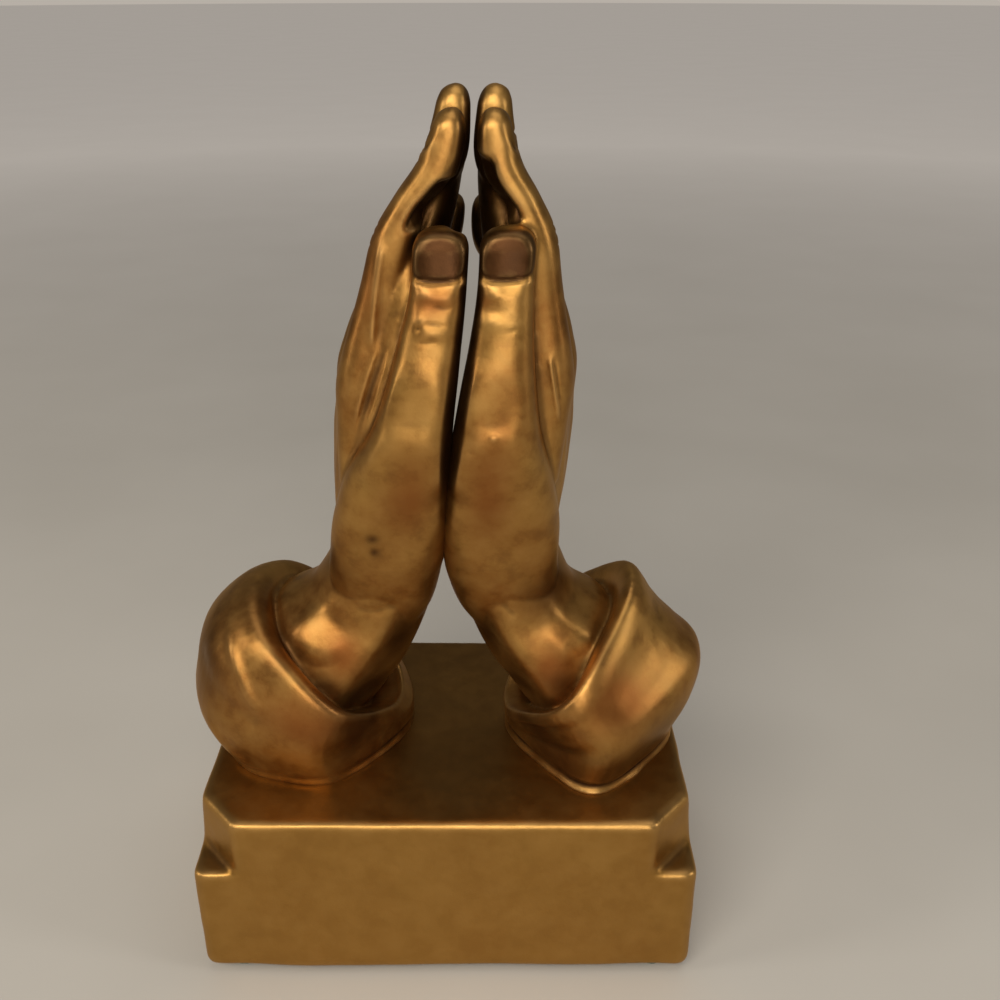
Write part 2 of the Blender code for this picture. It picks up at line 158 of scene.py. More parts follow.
SLEEVES = {
    "left": (
        (35.5, 0.5, -4.0, 0, 23.5, 27.5),
        (36.8, 0.5, 1.0, 3, 25.6, 29.2),
        (38.4, 0.6, 6.5, 9, 28.9, 30.8),
        (39.0, 0.4, 11.0, 14, 29.9, 31.6),
        (38.2, 0.0, 16.0, 21, 30.0, 32.0),
        (36.6, -0.8, 21.6, 29, 30.6, 31.6),
        (33.8, -1.4, 26.0, 38, 28.8, 30.4),
        (31.8, -1.6, 28.0, 43, 27.0, 29.4),
        (30.6, -1.6, 28.4, 45, 25.4, 28.0),
        (29.6, -1.5, 27.4, 46, 23.8, 26.2),
        (29.6, -1.3, 25.8, 46, 22.2, 24.4),
        (30.4, -1.1, 24.2, 45, 20.8, 22.8),
        (32.0, -1.0, 22.2, 45, 18.6, 20.4),
        (35.0, -1.0, 18.0, 42, 14.5, 16.0),
    ),
    "right": (
        (38.5, -1.0, -4.0, 0, 23.5, 28.5),
        (39.2, -1.0, 2.4, 6, 25.2, 29.5),
        (41.0, -1.0, 9.4, 13, 28.8, 30.4),
        (41.6, -1.0, 15.0, 23, 31.0, 30.6),
        (38.8, -1.2, 18.4, 31, 29.6, 30.6),
        (36.8, -1.4, 21.4, 37, 28.2, 30.2),
        (35.6, -1.6, 24.0, 42, 27.6, 29.8),
        (34.4, -1.8, 25.6, 47, 28.6, 29.8),
        (32.9, -1.8, 26.8, 50, 29.6, 29.6),
        (31.6, -1.8, 28.2, 51, 28.6, 28.8),
        (30.7, -1.6, 28.0, 51, 26.8, 27.4),
        (30.3, -1.4, 26.6, 51, 24.8, 25.6),
        (30.6, -1.2, 24.8, 50, 22.4, 23.6),
        (31.4, -1.0, 23.0, 49, 20.0, 21.8),
        (33.0, -1.0, 20.0, 47, 17.4, 19.0),
        (36.2, -1.0, 15.0, 44, 14.0, 15.0),
    ),
}
# Facets: the direction that each faces, in degrees from straight out, and its distance as a share of the
# radius
FLATS = {
    "left": ((-78, 0.95), (-140, 0.90), (90, 0.95)),
    "right": ((-46, 0.82), (-140, 0.82), (-4, 0.95), (180, 0.98), (52, 0.86), (130, 0.86)),
}
FOREARM_FLATS = ((-80, 0.90), (-142, 0.88), (-28, 0.93), (10, 0.96), (60, 0.94), (118, 0.94), (178, 0.96))
FLAT_SHARPNESS = 12.0
FOREARM_SHARPNESS = 22.0

# Patches mixed towards red-brown: the middle of each patch, and its reach each way
WARM = {
    "left": (
        ((8.5, -28.0, 86.0), (5.0, 9.0, 13.0)),
        ((25.0, -18.0, 36.0), (5.0, 9.0, 6.5)),
        ((33.0, -28.0, 21.0), (11.0, 9.0, 8.0)),
        ((6.0, -31.0, 128.0), (5.0, 4.0, 2.8)),
        ((20.0, -16.0, 132.0), (3.0, 6.0, 12.0)),
    ),
    "right": (
        ((9.6, -28.0, 86.0), (4.5, 9.0, 14.0)),
        ((27.0, -18.0, 31.0), (5.0, 9.0, 7.0)),
        ((43.0, -27.0, 26.0), (12.0, 10.0, 9.0)),
        ((4.5, -31.0, 128.0), (3.0, 4.0, 2.0)),
    ),
}

# Patches painted darker, in the same form: partly darker paint, partly painted shade in pits, under the
# sleeves' rims and on undersides
DARK_PAINT_AND_SHADE = {
    "left": (
        ((20.0, -26.0, 12.0), (9.0, 9.0, 12.0)),
        ((60.5, -16.0, 30.0), (8.0, 14.0, 13.0)),
        ((47.0, -12.0, 51.0), (11.0, 14.0, 7.0)),
        ((30.0, -10.0, 60.0), (9.0, 14.0, 7.0)),
        ((41.7, -16.0, 49.0), (4.0, 8.0, 5.0)),
        ((40.4, -20.0, 36.5), (4.0, 8.0, 5.0)),
        ((30.0, -22.0, 26.5), (4.0, 7.0, 3.5)),
        ((18.6, -22.0, 19.5), (6.0, 7.0, 3.5)),
        ((16.6, -25.6, 70.8), (1.6, 4.0, 1.5)),
        ((16.2, -24.2, 66.6), (1.1, 4.0, 1.5)),
        ((11.0, -12.0, 36.0), (4.0, 12.0, 7.0)),
        ((20.0, -14.0, 21.0), (4.5, 12.0, 6.0)),
    ),
    "right": (
        ((20.0, -22.0, 9.0), (11.0, 11.0, 12.0)),
        ((34.0, -29.0, 6.0), (13.0, 9.0, 7.0)),
        ((27.0, -14.0, 52.0), (7.0, 12.0, 7.0)),
        ((57.0, -20.0, 12.0), (9.0, 9.0, 8.0)),
        ((37.4, -16.0, 54.0), (3.5, 8.0, 6.0)),
        ((10.5, -12.0, 37.0), (4.0, 12.0, 8.0)),
        ((18.0, -14.0, 22.0), (4.0, 12.0, 6.0)),
        ((38.6, -20.0, 40.5), (3.5, 8.0, 6.0)),
        ((29.5, -21.0, 27.5), (4.0, 7.0, 3.5)),
    ),
}

# Marks on the front of the thumb joints. A lump is (out, up) from the joint, half its width and height, and
# how far it rises. A fold runs from one out to another, then come its height, its rise on the way and its
# depth.
THUMB_LUMPS = {
    "left": (
        ((1.8, 4.7), (2.8, 1.3), 0.45),
        ((2.9, -1.2), (1.7, 2.0), 0.40),
        ((0.4, -3.6), (2.2, 1.3), 0.28),
        ((-1.2, 1.4), (2.8, 1.7), -0.30),
        ((-2.0, -6.0), (2.6, 1.6), -0.16),
    ),
    "right": (
        ((-2.5, 4.8), (2.5, 1.5), 0.45),
        ((-2.6, 1.0), (2.6, 1.4), -0.26),
        ((-2.2, -1.6), (2.8, 1.5), 0.28),
        ((2.4, -2.2), (2.4, 2.4), 0.12),
    ),
}
THUMB_FOLDS = {
    "left": ((-4.2, 0.6, 1.4, 0.5, 0.13), (-3.6, 3.8, -2.2, 0.7, 0.16), (-1.5, 4.4, -5.0, -0.6, 0.12)),
    "right": ((-4.4, 0.4, 2.0, 1.6, 0.15), (0.4, 4.4, -0.6, -0.2, 0.12), (0.2, 4.6, -3.2, 0.2, 0.12)),
}

# Directions in the layout, and how far a mark that ignores a direction reaches along it each way
OUT, FRONT = (1, 0, 0), (0, -1, 0)
THROUGH_REACH = 60

# Colours of the bronze paint. The third row holds the darker paint and the painted shade, and the last row
# the painted highlight on proud edges.
GOLD, BROWN, PALE = (0.40, 0.215, 0.053, 1), (0.29, 0.125, 0.028, 1), (0.50, 0.285, 0.082, 1)
STAIN, OLIVE, RED = (0.17, 0.075, 0.020, 1), (0.24, 0.115, 0.018, 1), (0.25, 0.075, 0.015, 1)
DARK_PAINT_AND_SHADE_TONE, HOLLOW_SHADE, INNER_SHADE_AND_DARK_PAINT = (0.088, 0.036, 0.010, 1), (0.045, 0.018, 0.006, 1), (0.050, 0.019, 0.005, 1)
PROUD_EDGE_HIGHLIGHT = (0.60, 0.36, 0.13, 1)

FLOOR_RADIUS = 9.0
# Each lamp's place, what it points at, its two sizes (all in metres), its power in watts and its colour
LAMPS = {
    "front_light": ((-0.24, -0.78, 0.78), (0, 0, 0.14), (0.90, 0.50), 8.8, (1.0, 0.94, 0.84)),
    "window_light": ((0.10, -1.00, 0.30), (0, 0, 0.15), (0.36, 0.28), 2.3, (1.0, 0.95, 0.88)),
    "top_light": ((0.10, 0.05, 1.10), (0, 0, 0.1), (0.90, 0.70), 2.7, (1.0, 0.96, 0.90)),
    "left_light": ((-0.95, -0.25, 0.50), (0, 0, 0.12), (0.25, 0.50), 2.4, (1.0, 0.93, 0.84)),
    "right_light": ((0.95, -0.30, 0.45), (0, 0, 0.12), (0.22, 0.50), 2.0, (1.0, 0.95, 0.90)),
}
CAMERA_PLACE, CAMERA_TILT = (0.014, -0.253, 0.2408), 64.4


def unit(direction):
    """A direction with a length of 1."""
    direction = np.array(direction, float)
    return direction / np.linalg.norm(direction)


def square_to(direction, along):
    """The part of a direction that is at right angles to another one, as a unit."""
    return unit(direction - along * (direction @ along))


def placed(name, data):
    """A new object in the scene."""
    item = bpy.data.objects.new(name, data)
    bpy.context.scene.collection.objects.link(item)
    return item


def mesh_of(shape, name):
    """Turns a shape that is being edited into a mesh."""
    mesh = bpy.data.meshes.new(name)
    shape.to_mesh(mesh)
    shape.free()
    return mesh


def patches(points, table, seed):
    """How strongly each point lies in a table's patches, from 0 to 1, with an uneven edge."""
    share = np.zeros(len(points))
    for centre, reach in table:
        share += np.exp(-(((points - centre) / reach) ** 2).sum(1))
    return np.clip(share * (1.0 + 0.35 * wander(points, scale=7.0, seed=seed)), 0, 1)


def smooth_table(table, steps=STEPS):
    """The rows of a table with rows between them, on a curve through each given row."""
    rows = np.array(table, float)
    padded = np.vstack([2 * rows[0] - rows[1], rows, 2 * rows[-1] - rows[-2]])
    found = []
    for i in range(1, len(padded) - 2):
        a, b, c, d = padded[i - 1 : i + 3]
        for step in range(steps):
            t = step / steps
            bend, turn = 2 * a - 5 * b + 4 * c - d, 3 * b - a - 3 * c + d
            found.append(0.5 * (2 * b + (c - a) * t + bend * t**2 + turn * t**3))
    found.append(rows[-1])
    return np.array(found)


def flat_share(angle, flats, sharpness):
    """How much of the radius is left in a direction, once the facets have cut into it."""
    total = 1.0
    for facing, share in flats:
        total += max(0.0, math.cos(angle - math.radians(facing)) / share) ** sharpness
    return total ** (-1.0 / sharpness)


def squared(value, power):
    """Moves a cosine or sine outwards, which makes a round outline squarer."""
    return math.copysign(abs(value) ** (2.0 / power), value)


def ring(centre, tilt, half_out, half_back, flats=(), power=2.0, sharpness=FLAT_SHARPNESS):
    """A closed outline, tilted so that its outer side rises: round at a power of 2, squarer above it."""
    out, back, up = centre
    lean = math.radians(tilt)
    points = []
    for i in range(ROUND):
        angle = 2 * math.pi * i / ROUND
        share = flat_share(angle, flats, sharpness) if flats else 1.0
        along = half_out * share * squared(math.cos(angle), power)
        across = half_back * share * squared(math.sin(angle), power)
        points.append((out + along * math.cos(lean), back + across, up + along * math.sin(lean)))
    return points


def finger_rings(path, halves, power):
    """Rings across a path, closed by a blunt tip."""
    rows = smooth_table([(*p, *h) for p, h in zip(path, halves)])
    lengths = np.linalg.norm(np.diff(rows[:, :3], axis=0), axis=1)
    left = np.append(np.cumsum(lengths[::-1])[::-1], 0.0)
    cap = rows[-1, 4] * TIP_LENGTH
    extra = [np.interp(cap * s, left[::-1], np.arange(len(rows))[::-1]) for s in (0.35, 0.15, 0.05, 0.02)]
    places = sorted([*range(len(rows)), *extra])
    found = np.array([[np.interp(p, np.arange(len(rows)), rows[:, k]) for k in range(5)] for p in places])
    remain = np.interp(places, np.arange(len(rows)), left)
    rings = []
    for i, (out, back, up, half_out, half_back) in enumerate(found):
        before = found[max(i - 1, 0), :3]
        after = found[min(i + 1, len(found) - 1), :3]
        tilt = math.degrees(math.atan2(before[0] - after[0], after[2] - before[2]))
        inside = min(remain[i] / cap, 1.0)
        close = max((1.0 - (1.0 - inside) ** TIP_POWER) ** (1 / TIP_POWER), 0.05)
        squareness = 2 + (power - 2) * close
        rings.append(ring((out, back, up), tilt, half_out * close, half_back * close, power=squareness))
    return rings


def bone_path(start, bones, slopes, drifts):
    """A start and the end of each bone that follows it."""
    out, back, up = start
    path = [(out, back, up)]
    for bone, slope, drift in zip(bones, slopes, drifts):
        out -= bone * math.sin(math.radians(slope))
        up += bone * math.cos(math.radians(slope))
        back += drift
        path.append((out, back, up))
    return path


def finger_path(measures):
    """Where a finger's knuckle, joints and tip are."""
    bones = measures["bones"]
    drifts = [measures["drift"] / len(bones)] * len(bones)
    return bone_path(measures["knuckle"], bones, measures["slopes"], drifts)


def finger(measures):
    path = finger_path(measures)
    out, back, up = path[0]
    path.insert(0, (out - BOW, back, up - ROOT))
    for place, bow in ((1, BOW), (3, measures["hollow"])):
        middle = [(a + b) / 2 for a, b in zip(path[place], path[place + 1])]
        middle[0] += bow
        path.insert(place + 1, tuple(middle))
    thick, wide = measures["thickness"] / 2, measures["width"] / 2
    halves = [(thick * t, wide * w) for t, w in zip(THICKNESSES, WIDTHS)]
    return finger_rings(path, halves, FINGER_POWER)


def thumb_path(side):
    """Where a thumb's knuckle, joint and tip are."""
    return bone_path(THUMB_KNUCKLES[side][:3], THUMB_BONES, THUMB_SLOPES[side], THUMB_DRIFTS)


def thumb(side):
    rows = (*THUMB_HEEL, THUMB_KNUCKLES[side])
    path = [row[:3] for row in rows] + thumb_path(side)[1:]
    halves = [row[3:] for row in rows] + list(THUMB_HALVES)
    return finger_rings(path, halves, THUMB_POWER)


def table_rings(table, flats=()):
    return [ring(row[:3], row[3], row[4], row[5], flats) for row in smooth_table(table)]


def forearm_rings(side):
    """The palm and forearm, which turns from round to slightly square on its way down."""
    rings = []
    for row in smooth_table(PALM + FOREARMS[side]):
        round_one = np.array(ring(row[:3], *row[3:]))
        square_one = np.array(ring(row[:3], *row[3:], FOREARM_FLATS, sharpness=FOREARM_SHARPNESS))
        share = 1.0 - float(ramp(np.array(row[2]), 40.0, 52.0))
        rings.append([tuple(v) for v in round_one * (1 - share) + square_one * share])
    return rings


def loft(shape, rings):
    """Joins rings into a closed form."""
    made = [[shape.verts.new(point) for point in points] for points in rings]
    for lower, upper in zip(made, made[1:]):
        for i in range(ROUND):
            j = (i + 1) % ROUND
            shape.faces.new((lower[i], lower[j], upper[j], upper[i]))
    shape.faces.new(made[0])
    shape.faces.new(made[-1])


def evaluated(mesh, *modifiers):
    """A copy of a mesh with modifiers applied: each is a type and its settings."""
    item = placed("work", mesh)
    for kind, settings in modifiers:
        added = item.modifiers.new(kind, kind)
        for key, value in settings.items():
            setattr(added, key, value)
    bpy.context.view_layer.update()
    result = bpy.data.meshes.new_from_object(item.evaluated_get(bpy.context.evaluated_depsgraph_get()))
    bpy.data.objects.remove(item)
    return result


def one_skin(mesh, voxel, soften):
    """One smoothed skin around all that a mesh holds."""
    return evaluated(
        mesh,
        ("REMESH", dict(mode="VOXEL", voxel_size=voxel)),
        ("SMOOTH", dict(factor=0.5, iterations=soften)),
    )


def wander(points, scale, seed):
    """Smooth noise from about -1 to 1 at each point."""
    q = points / scale + seed * 7.31
    base = np.floor(q)
    f = q - base
    f = f * f * (3 - 2 * f)
    total = np.zeros(len(points))
    for dx in (0, 1):
        for dy in (0, 1):
            for dz in (0, 1):
                corner = base + (dx, dy, dz)
                h = np.sin(corner @ np.array([12.9898, 78.233, 37.719]) + seed) * 43758.5453
                h = 2 * (h - np.floor(h)) - 1
                total += h * np.abs(1 - dx - f[:, 0]) * np.abs(1 - dy - f[:, 1]) * np.abs(1 - dz - f[:, 2])
    return total


def ramp(value, low, high):
    """Rises smoothly from 0 at low to 1 at high."""
    t = np.clip((value - low) / (high - low), 0, 1)
    return t * t * (3 - 2 * t)


def remember(mesh, name, values):
    """Stores a value for each point, for the paint to use."""
    attribute = mesh.attributes.new(name, "FLOAT", "POINT")
    attribute.data.foreach_set("value", values.astype(np.float32))


class Clay:
    """A mesh whose points are pushed in and out."""

    def __init__(self, mesh):
        self.mesh = mesh
        self.points = np.empty(len(mesh.vertices) * 3)
        mesh.vertices.foreach_get("co", self.points)
        self.points = self.points.reshape(-1, 3)
        self.tint = np.zeros(len(self.points))
        self.settle()

    def settle(self):
        """Works out the normals again."""
        self.mesh.vertices.foreach_set("co", self.points.ravel())
        self.mesh.update()
        normals = np.empty(len(self.points) * 3)
        self.mesh.vertex_normals.foreach_get("vector", normals)
        self.normals = normals.reshape(-1, 3)

    def push(self, where, amount):
        self.points[where] += self.normals[where] * amount[:, None]

    def near(self, path, reach):
        low = path.min(0) - reach
        high = path.max(0) + reach
        return np.nonzero(np.all((self.points > low) & (self.points < high), axis=1))[0]

    def push_facing(self, where, amount, facing):
        """Pushes points, and where a direction is given, only those that face it."""
        if facing is not None:
            amount = amount * ramp(self.normals[where] @ unit(facing), 0.0, 0.4)
        self.push(where, amount)

    def stroke(self, path, width, height, through=None, facing=None, ends=0.18):
        """Raises (or with a height below 0, sinks) the surface along a path. Distances ignore the direction
        through, and only surface that faces the direction facing is moved."""
        path = smooth_table(path, 5) if len(path) > 2 else np.array(path, float)
        box = path
        if through is not None:
            axis = unit(through)
            box = np.vstack([path - axis * THROUGH_REACH, path + axis * THROUGH_REACH])
        where = self.near(box, 3.0 * width)
        points = self.points[where]
        best = np.full(len(where), 1e9)
        place = np.zeros(len(where))
        lengths = np.append(0, np.cumsum(np.linalg.norm(np.diff(path, axis=0), axis=1)))
        for i, (a, b) in enumerate(zip(path, path[1:])):
            ab = b - a
            offset = points - a
            if through is not None:
                ab = ab - axis * (ab @ axis)
                offset = offset - np.outer(offset @ axis, axis)
            t = np.clip(offset @ ab / max(ab @ ab, 1e-9), 0, 1)
            d = np.linalg.norm(offset - t[:, None] * ab, axis=1)
            closer = d < best
            best[closer] = d[closer]
            place[closer] = (lengths[i] + t * (lengths[i + 1] - lengths[i]))[closer]
        share = place / lengths[-1]
        fade = ramp(share, 0, ends) * ramp(1 - share, 0, ends)
        self.push_facing(where, height * np.exp(-((best / width) ** 2)) * fade, facing)

    def bump(self, centre, radii, height, facing=None):
        """Raises (or sinks) the surface around a point."""
        centre = np.array(centre, float)
        radii = np.ones(3) * radii
        where = self.near(centre[None, :], 2.5 * radii.max())
        d = np.linalg.norm((self.points[where] - centre) / radii, axis=1)
        self.push_facing(where, height * np.exp(-(d**2)), facing)

    def against(self, centre, direction, reach):
        """The points near a plane's middle, how far each stands proud of it and how far beside its middle."""
        centre = np.array(centre, float)
        where = self.near(centre[None, :], reach)
        offset = self.points[where] - centre
        proud = offset @ direction
        return where, proud, np.linalg.norm(offset - np.outer(proud, direction), axis=1)

    def press(self, centre, facing, radius, share):
        """Flattens what stands proud of a plane near a point."""
        direction = unit(facing)
        where, proud, beside = self.against(centre, direction, radius * 1.6)
        weight = share * (1 - ramp(beside, radius * 0.6, radius * 1.3)) * (proud > 0)
        self.points[where] -= np.outer(proud * weight, direction)

    def facet(self, centre, facing, radius, share):
        """Draws the surface near a point onto a plane."""
        direction = unit(facing)
        where, proud, beside = self.against(centre, direction, radius * 1.7)
        faces = ramp(self.normals[where] @ direction, 0.35, 0.75)
        weight = share * faces * (1 - ramp(beside, radius * 0.55, radius * 1.4)) * (np.abs(proud) < 5.0)
        self.points[where] -= np.outer(proud * weight, direction)

    def roughen(self, scale, height, seed, stretch=(1, 1, 1)):
        everything = np.arange(len(self.points))
        self.push(everything, height * wander(self.points / np.array(stretch), scale, seed))

    def nail(self, joint, tip, outward, half_width, length, back_from_tip, tint=0.35, relief=1.0):
        """A finger nail on the side of the last bone that faces outward."""
        joint, tip, outward = (np.array(v, float) for v in (joint, tip, outward))
        along = unit(tip - joint)
        outward = square_to(outward, along)
        across = np.cross(along, outward)
        middle = tip - along * (back_from_tip + length / 2)
        where = self.near(middle[None, :], length * 1.4 + half_width)
        offset = self.points[where] - middle
        u = offset @ along / (length / 2)
        v = offset @ across / half_width
        w = offset @ outward
        facing = ramp(self.normals[where] @ outward, 0.05, 0.35) * (w > -2.0)
        power = np.where(u > 0, 3.0, 3.6)
        r = (np.abs(u) ** power + np.abs(v) ** power) ** (1 / power)
        size = (length / 2 + half_width) / 2
        edge = (r - 1.0) * size
        plate = (1 - ramp(r, 0.74, 1.04)) * 0.14
        groove = -0.30 * np.exp(-((edge / 0.50) ** 2)) * (0.04 + 0.96 * ramp(-u, 0.1, 0.8))
        fold = 0.22 * np.exp(-(((edge - 1.15) / 0.75) ** 2)) * ramp(-u, 0.0, 0.7)
        tipfall = -0.12 * np.exp(-(((edge - 0.9) / 0.8) ** 2)) * ramp(u, 0.4, 1.0)
        self.push(where, relief * (plate + groove + fold + tipfall) * facing)
        self.tint[where] = np.maximum(self.tint[where], tint * (1 - ramp(r, 0.92, 1.08)) * facing)

    def creases(self, centre, along, outward, half_width, count, spacing, depth, wide):
        """Short folds of skin across a joint, bent a little upwards above its middle and downwards below."""
        along = unit(along)
        outward = square_to(outward, along)
        across = np.cross(along, outward)
        for i in range(count):
            step = i - (count - 1) / 2
            reach = half_width * (1.0 - 0.18 * abs(step))
            bend = 0.6 if step >= 0 else -0.6
            path = []
            for t in np.linspace(-1, 1, 7):
                rise = step * spacing + bend * (1 - t * t) * 0.5 + 0.18 * math.sin(5 * t + 2.1 * i)
                path.append(centre + along * rise + across * reach * t)
            self.stroke(path, wide, -depth, through=outward, facing=outward)


def back_of(bone):
    """The outer side of a bone, at right angles to it."""
    return np.array([bone[2], 0, -bone[0]])


def hand_details(clay, side):
    """Nails, skin folds, knuckles and sinews."""
    for measures in FINGERS.values():
        path = [np.array(p) for p in finger_path(measures)]
        half, thick = measures["width"] / 2, measures["thickness"] / 2
        for joint, swell, share in ((1, 0.35, 1.0), (2, 0.18, 0.85)):
            run = path[joint + 1] - path[joint - 1]
            outward = unit(back_of(run))
            centre = path[joint] + outward * thick * share
            clay.bump(centre, (4.0, 5.0, 5.0), swell, facing=outward)
            if joint == 1:
                clay.creases(centre, run, outward, half * 0.62, count=3, spacing=1.9, depth=0.20, wide=0.45)
            else:
                clay.creases(centre, run, outward, half * 0.55, count=2, spacing=1.5, depth=0.14, wide=0.40)
        outward = back_of(path[3] - path[2])
        clay.nail(path[2], path[3], outward, half * 0.56, measures["bones"][2] * 0.68, back_from_tip=1.0)
        knuckle = path[0]
        clay.bump(knuckle + (thick * 1.2, 0, -1.0), (5.0, 4.6, 6.5), 0.7, facing=OUT)
        wrist = (20.0, 1.5 + 0.30 * (knuckle[1] - 1.5), 62.0)
        halfway = ((knuckle[0] + wrist[0]) / 2, knuckle[1] * 0.62, 84.0)
        clay.stroke([knuckle + (0, 0, -6), halfway, wrist], 1.9, 0.42, through=OUT, facing=OUT, ends=0.3)
    knuckles = [np.array(measures["knuckle"]) for measures in FINGERS.values()]
    for a, b in zip(knuckles, knuckles[1:]):
        middle = (a + b) / 2
        path = [middle + (4, 0, 10), middle + (4, 0, 0), middle + (3, -0.5, -12)]
        clay.stroke(path, 2.2, -0.75, through=OUT, facing=OUT, ends=0.35)
    clay.settle()
    _, joint, tip = (np.array(p) for p in thumb_path(side))
    clay.press(tip + (0, -4.6, -6.4), (0, -1, 0.16), radius=6.0, share=0.5)
    clay.settle()
    clay.nail(joint, tip, FRONT, half_width=6.1, length=10.2, back_from_tip=0.5, tint=1.0, relief=0.8)
    for (x, lift), (wide, high), height in THUMB_LUMPS[side]:
        clay.bump(joint + (x, -6.2, lift), (wide, 3.0, high), height, facing=FRONT)
    for x0, x1, lift, rise, depth in THUMB_FOLDS[side]:
        path = []
        for t in (0, 0.25, 0.5, 0.75, 1):
            waver = 0.22 * math.sin(7 * t + lift)
            path.append(joint + (x0 + (x1 - x0) * t, -6.2, lift + rise * t + waver))
        clay.stroke(path, 0.5, -depth, through=FRONT, facing=FRONT, ends=0.35)


def sleeve_details(clay, side):
    """Folds of the cloth, and the lip where a sleeve meets the plinth."""
    if side == "left":
        dip = [
            (62.0, -8.0, 33.0), (60.0, -14.0, 30.0), (56.0, -20.0, 26.0),
            (50.0, -25.0, 22.0), (42.0, -29.0, 19.0),
        ]
        clay.stroke(dip, 3.4, -0.7)
        low_fold = [
            (62.0, -8.0, 18.0), (60.0, -12.0, 13.4), (57.0, -16.0, 9.0),
            (54.0, -19.0, 5.5), (48.0, -24.0, 2.5),
        ]
        high_fold = [(54.5, -12.0, 44.0), (51.5, -15.0, 36.0), (48.5, -18.0, 29.0), (45.0, -21.0, 22.5)]
        for path, height in ((low_fold, 0.6), (high_fold, 0.7)):
            clay.stroke(path, 1.7, height, through=(0, 1, 0), facing=(0.3, -1, 0.2), ends=0.3)
        clay.stroke([(66.0, 4.0, 24.0), (63.0, 18.0, 22.0), (55.0, 27.0, 20.0), (42.0, 31.5, 15.0)], 3.0, 0.7)
        clay.stroke([(63.0, 12.0, 33.0), (54.0, 22.0, 30.0), (44.0, 27.5, 25.0)], 3.0, -0.7)
    else:
        clay.stroke([(66.0, 6.0, 22.0), (60.0, 18.0, 20.0), (50.0, 27.0, 17.0)], 2.6, 0.7)
        clay.stroke([(60.0, 12.0, 34.0), (50.0, 24.0, 30.0), (40.0, 28.0, 24.0)], 3.0, -0.7)
    clay.settle()
    points = clay.points
    low = np.nonzero((points[:, 2] > -2.0) & (points[:, 2] < 6.0))[0]
    up = points[low, 2]
    uneven = 1.0 + 0.5 * wander(points[low], scale=6.0, seed=9.0)
    if side == "left":
        uneven = uneven * (0.25 + 0.75 * ramp(-points[low, 0], -30.0, -16.0))
    lip = 0.75 * np.exp(-(((up - 0.4) / 0.75) ** 2)) - 0.40 * np.exp(-(((up - 2.3) / 0.8) ** 2))
    clay.push(low, lip * uneven)


def web_and_wrist(clay, side):
    """The web's ridges, small pits, and the creases of the wrist."""
    if side == "left":
        outer = [
            (16.3, -19.5, 119.5), (18.0, -20.0, 113.0), (19.4, -20.2, 108.3),
            (21.6, -20.5, 99.0), (21.4, -20.8, 93.5),
        ]
        inner = [
            (13.0, -21.0, 119.5), (15.0, -21.3, 112.5), (16.4, -21.5, 107.0),
            (19.0, -21.3, 97.0), (21.0, -20.8, 93.5),
        ]
        valley = [(14.8, -20.3, 118.0), (17.2, -20.5, 110.0), (18.8, -20.6, 104.0), (20.2, -20.8, 97.5)]
        for path, width, height in ((outer, 1.0, 0.50), (inner, 1.0, 0.45), (valley, 1.3, -0.40)):
            clay.stroke(path, width, height, through=(0, 1, 0), facing=FRONT, ends=0.3)
        seam = [
            (17.0, -18.7, 140.0), (17.8, -19.3, 133.2), (18.4, -19.4, 125.9),
            (18.7, -19.6, 119.1), (18.5, -19.9, 113.7),
        ]
        clay.stroke(seam, 0.9, 0.55)
        clay.bump((8.2, -30.3, 122.8), 0.7, -0.35)
        clay.bump((16.6, -25.6, 70.8), (1.3, 2.0, 1.4), -0.30)
        clay.bump((16.2, -24.2, 66.6), (1.0, 2.0, 1.2), -0.22)
        crease = [(24.3, -16.9, 49.6), (20.0, -18.6, 47.6), (16.7, -18.9, 47.4), (9.6, -17.9, 48.8)]
        clay.stroke(crease, 1.6, -0.40, ends=0.4)
        clay.facet((31.0, -18.0, 40.5), (0.05, -0.80, 0.60), radius=6.0, share=0.55)
    else:
        ridge = [(20.4, -19.9, 114.0), (21.8, -20.2, 108.3), (23.0, -20.2, 103.2), (24.0, -19.8, 97.3)]
        clay.stroke(ridge, 0.6, 0.45)
        clay.stroke([(21.2, -20.0, 113.0), (22.6, -20.2, 107.5), (23.9, -20.0, 102.0)], 0.6, -0.35)
        clay.bump((9.3, -33.2, 99.4), 0.9, 0.45)
        clay.bump((4.4, -32.4, 96.0), (1.1, 1.1, 0.8), -0.40)
        clay.stroke([(13.8, -19.1, 50.9), (16.5, -18.7, 47.2), (18.9, -18.6, 44.9)], 1.5, -0.40, ends=0.4)
        clay.stroke([(24.0, -18.6, 43.0), (28.6, -19.0, 38.0), (32.6, -18.8, 32.0)], 2.4, 0.4, ends=0.4)


def front_details(clay, side):
    """What the photo shows on the side of the thumbs, from the index finger down to the wrist."""
    web_and_wrist(clay, side)
    clay.settle()
    top, deep, lean = (151.5, 11.5, 1.0) if side == "left" else (156.5, 15.0, 0.2)
    under_tip = [
        (2.5, -16.5, top), (3.6, -16.5, top - 0.3 * deep), (5.0, -16.5, top - 0.6 * deep),
        (6.5, -16.0, top - deep),
    ]
    clay.stroke(under_tip, 4.4, -2.6, through=OUT, facing=(-1, 0, 0), ends=0.25)
    clay.settle()
    clay.facet((7.6 + lean, -32.6, 107.0), (0.10, -1.0, 0.02), radius=7.5, share=0.55)
    clay.facet((9.0, -32.0, 90.0), (0.05, -0.97, -0.25), radius=9.0, share=0.65)
    clay.facet((12.0, -26.5, 74.0), (0.05, -0.93, -0.36), radius=10.0, share=0.6)


